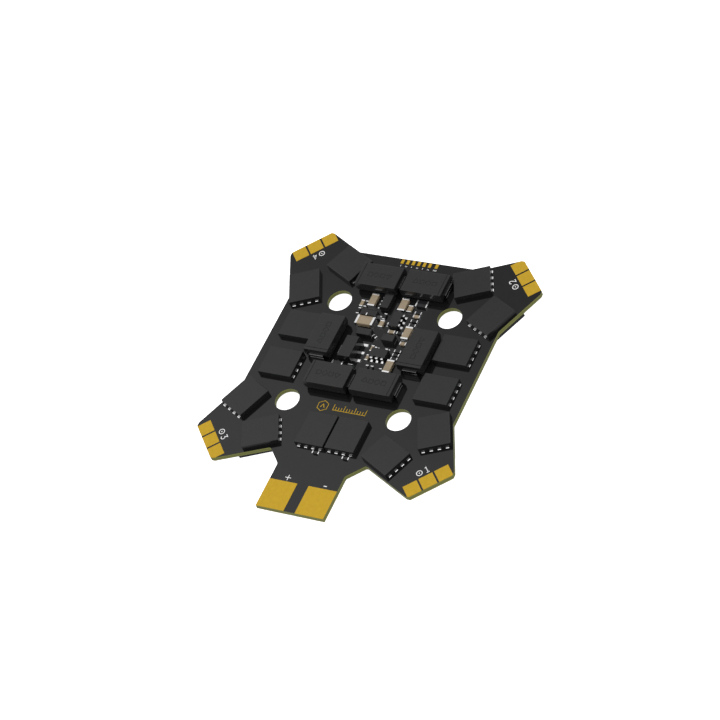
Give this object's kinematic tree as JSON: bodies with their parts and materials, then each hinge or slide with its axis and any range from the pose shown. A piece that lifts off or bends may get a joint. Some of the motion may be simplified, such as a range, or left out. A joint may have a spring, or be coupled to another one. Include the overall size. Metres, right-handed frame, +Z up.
{
  "type": "electronic speed controller",
  "caption": "X-shaped black circuit board for a multirotor, with power transistors on its arms, tantalum capacitors round the middle, gold solder pads and a square hole pattern.",
  "frame": {"origin": "centre of the four mounting holes, on the board's upper face", "axes": "+Z up out of the upper face, +Y to the signal pads at the back edge, -Y to the battery tab, +X to the arms of motors 1 and 2"},
  "size_m": [0.0456, 0.0525, 0.0036],
  "materials": {
    "laminate": "glass-epoxy laminate, olive, faintly layered at its edge",
    "copper": "etched copper foil",
    "solder_mask": "glossy black solder mask",
    "gold_pad": "gold-plated pad, satin",
    "package_plastic": "black moulding compound, smooth",
    "capacitor_plastic": "black moulding compound, smooth",
    "inductor_body": "dark moulded iron powder",
    "ceramic": "fired tan ceramic",
    "resistor_glaze": "black glaze over ceramic",
    "shunt_alloy": "brushed resistance alloy",
    "solder_tin": "bright tin plating and solder",
    "terminal_plate": "dull grey plating on the capacitors' terminal strips",
    "legend_ink": "white printed legend, drawn on the board by the looks model"
  },
  "bodies": {
    "root": {"battery_pad_negative": "gold_pad", "battery_pad_positive": "gold_pad", "boost_converter_body": "package_plastic", "boost_converter_leads": "solder_tin", "buck_converter_body": "package_plastic", "buck_converter_leads": "solder_tin", "ceramic_capacitor_large": "ceramic", "ceramic_capacitor_large_ends": "solder_tin", "ceramic_capacitors_medium": "ceramic", "ceramic_capacitors_medium_ends": "solder_tin", "ceramic_capacitors_small": "ceramic", "ceramic_capacitors_small_ends": "solder_tin", "copper_plane_ground": "copper", "copper_plane_power": "copper", "current_sense_amplifier_body": "package_plastic", "current_sense_amplifier_leads": "solder_tin", "diode_body": "package_plastic", "diode_terminals": "solder_tin", "gate_drivers_bodies": "package_plastic", "gate_drivers_contacts": "solder_tin", "inductor_bodies": "inductor_body", "inductor_terminals": "solder_tin", "laminate_core": "laminate", "laminate_lower_ply": "laminate", "laminate_upper_ply": "laminate", "microcontrollers_bodies": "package_plastic", "microcontrollers_contacts": "solder_tin", "mosfet_bodies_motor_1": "package_plastic", "mosfet_bodies_motor_2": "package_plastic", "mosfet_bodies_motor_3": "package_plastic", "mosfet_bodies_motor_4": "package_plastic", "mosfet_leads_motor_1": "solder_tin", "mosfet_leads_motor_2": "solder_tin", "mosfet_leads_motor_3": "solder_tin", "mosfet_leads_motor_4": "solder_tin", "motor_pads_1": "gold_pad", "motor_pads_2": "gold_pad", "motor_pads_3": "gold_pad", "motor_pads_4": "gold_pad", "regulator_body": "package_plastic", "regulator_leads": "solder_tin", "resistor_bodies": "resistor_glaze", "resistor_ends": "solder_tin", "shunt_elements": "shunt_alloy", "shunt_ends": "solder_tin", "signal_pads": "gold_pad", "solder_mask_bottom": "solder_mask", "solder_mask_top": "solder_mask", "tantalum_body_back_left": "capacitor_plastic", "tantalum_body_back_right": "capacitor_plastic", "tantalum_body_front_left": "capacitor_plastic", "tantalum_body_front_right": "capacitor_plastic", "tantalum_body_side_left": "capacitor_plastic", "tantalum_body_side_right": "capacitor_plastic", "tantalum_terminals_back_left": "terminal_plate", "tantalum_terminals_back_right": "terminal_plate", "tantalum_terminals_front_left": "terminal_plate", "tantalum_terminals_front_right": "terminal_plate", "tantalum_terminals_side_left": "terminal_plate", "tantalum_terminals_side_right": "terminal_plate"}
  },
  "joints": []
}
